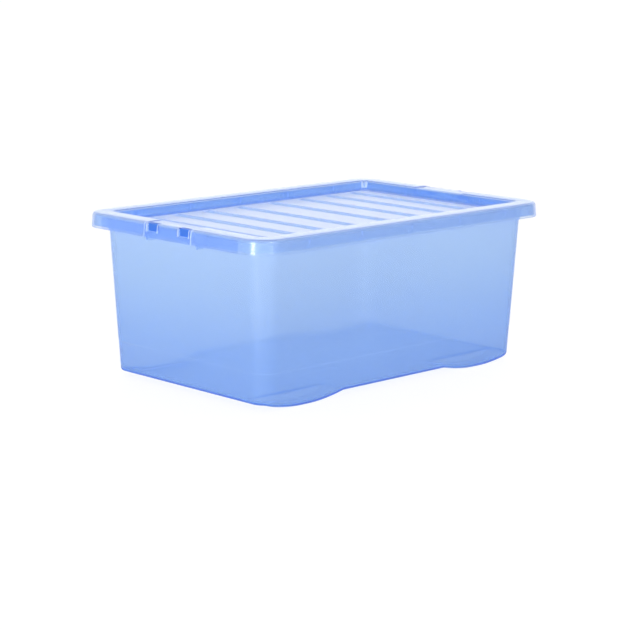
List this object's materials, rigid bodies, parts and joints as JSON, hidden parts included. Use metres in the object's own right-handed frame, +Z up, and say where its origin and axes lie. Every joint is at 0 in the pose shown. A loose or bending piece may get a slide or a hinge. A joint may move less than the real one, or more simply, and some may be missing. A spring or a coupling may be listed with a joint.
{
  "type": "under-bed storage box",
  "caption": "Translucent rectangular storage box with tapered sides and corner feet, and a ribbed lid with a fold-up clip at each end.",
  "frame": {"origin": "on the floor, below the centre of the box", "axes": "+X along the length, +Y across the width, +Z up out of the lid"},
  "size_m": [0.6, 0.4, 0.25],
  "materials": {
    "tub_plastic": "translucent blue polypropylene, satin",
    "lid_plastic": "translucent blue polypropylene, gloss"
  },
  "bodies": {
    "tub": {"tub": "tub_plastic"},
    "lid": {"lid": "lid_plastic"},
    "clip_left": {"clip_left": "lid_plastic"},
    "clip_right": {"clip_right": "lid_plastic"}
  },
  "joints": [
    {"name": "lid_lift", "type": "slide", "parent": "tub", "child": "lid", "axis": [0, 0, 1], "range_m": [0, 0.3]},
    {"name": "clip_left_hinge", "type": "hinge", "parent": "lid", "child": "clip_left", "pos_m": [-0.2648, 0, 0.2382], "axis": [0, 1, 0], "range_deg": [0, 90]},
    {"name": "clip_right_hinge", "type": "hinge", "parent": "lid", "child": "clip_right", "pos_m": [0.2648, 0, 0.2382], "axis": [0, -1, 0], "range_deg": [0, 90]}
  ]
}
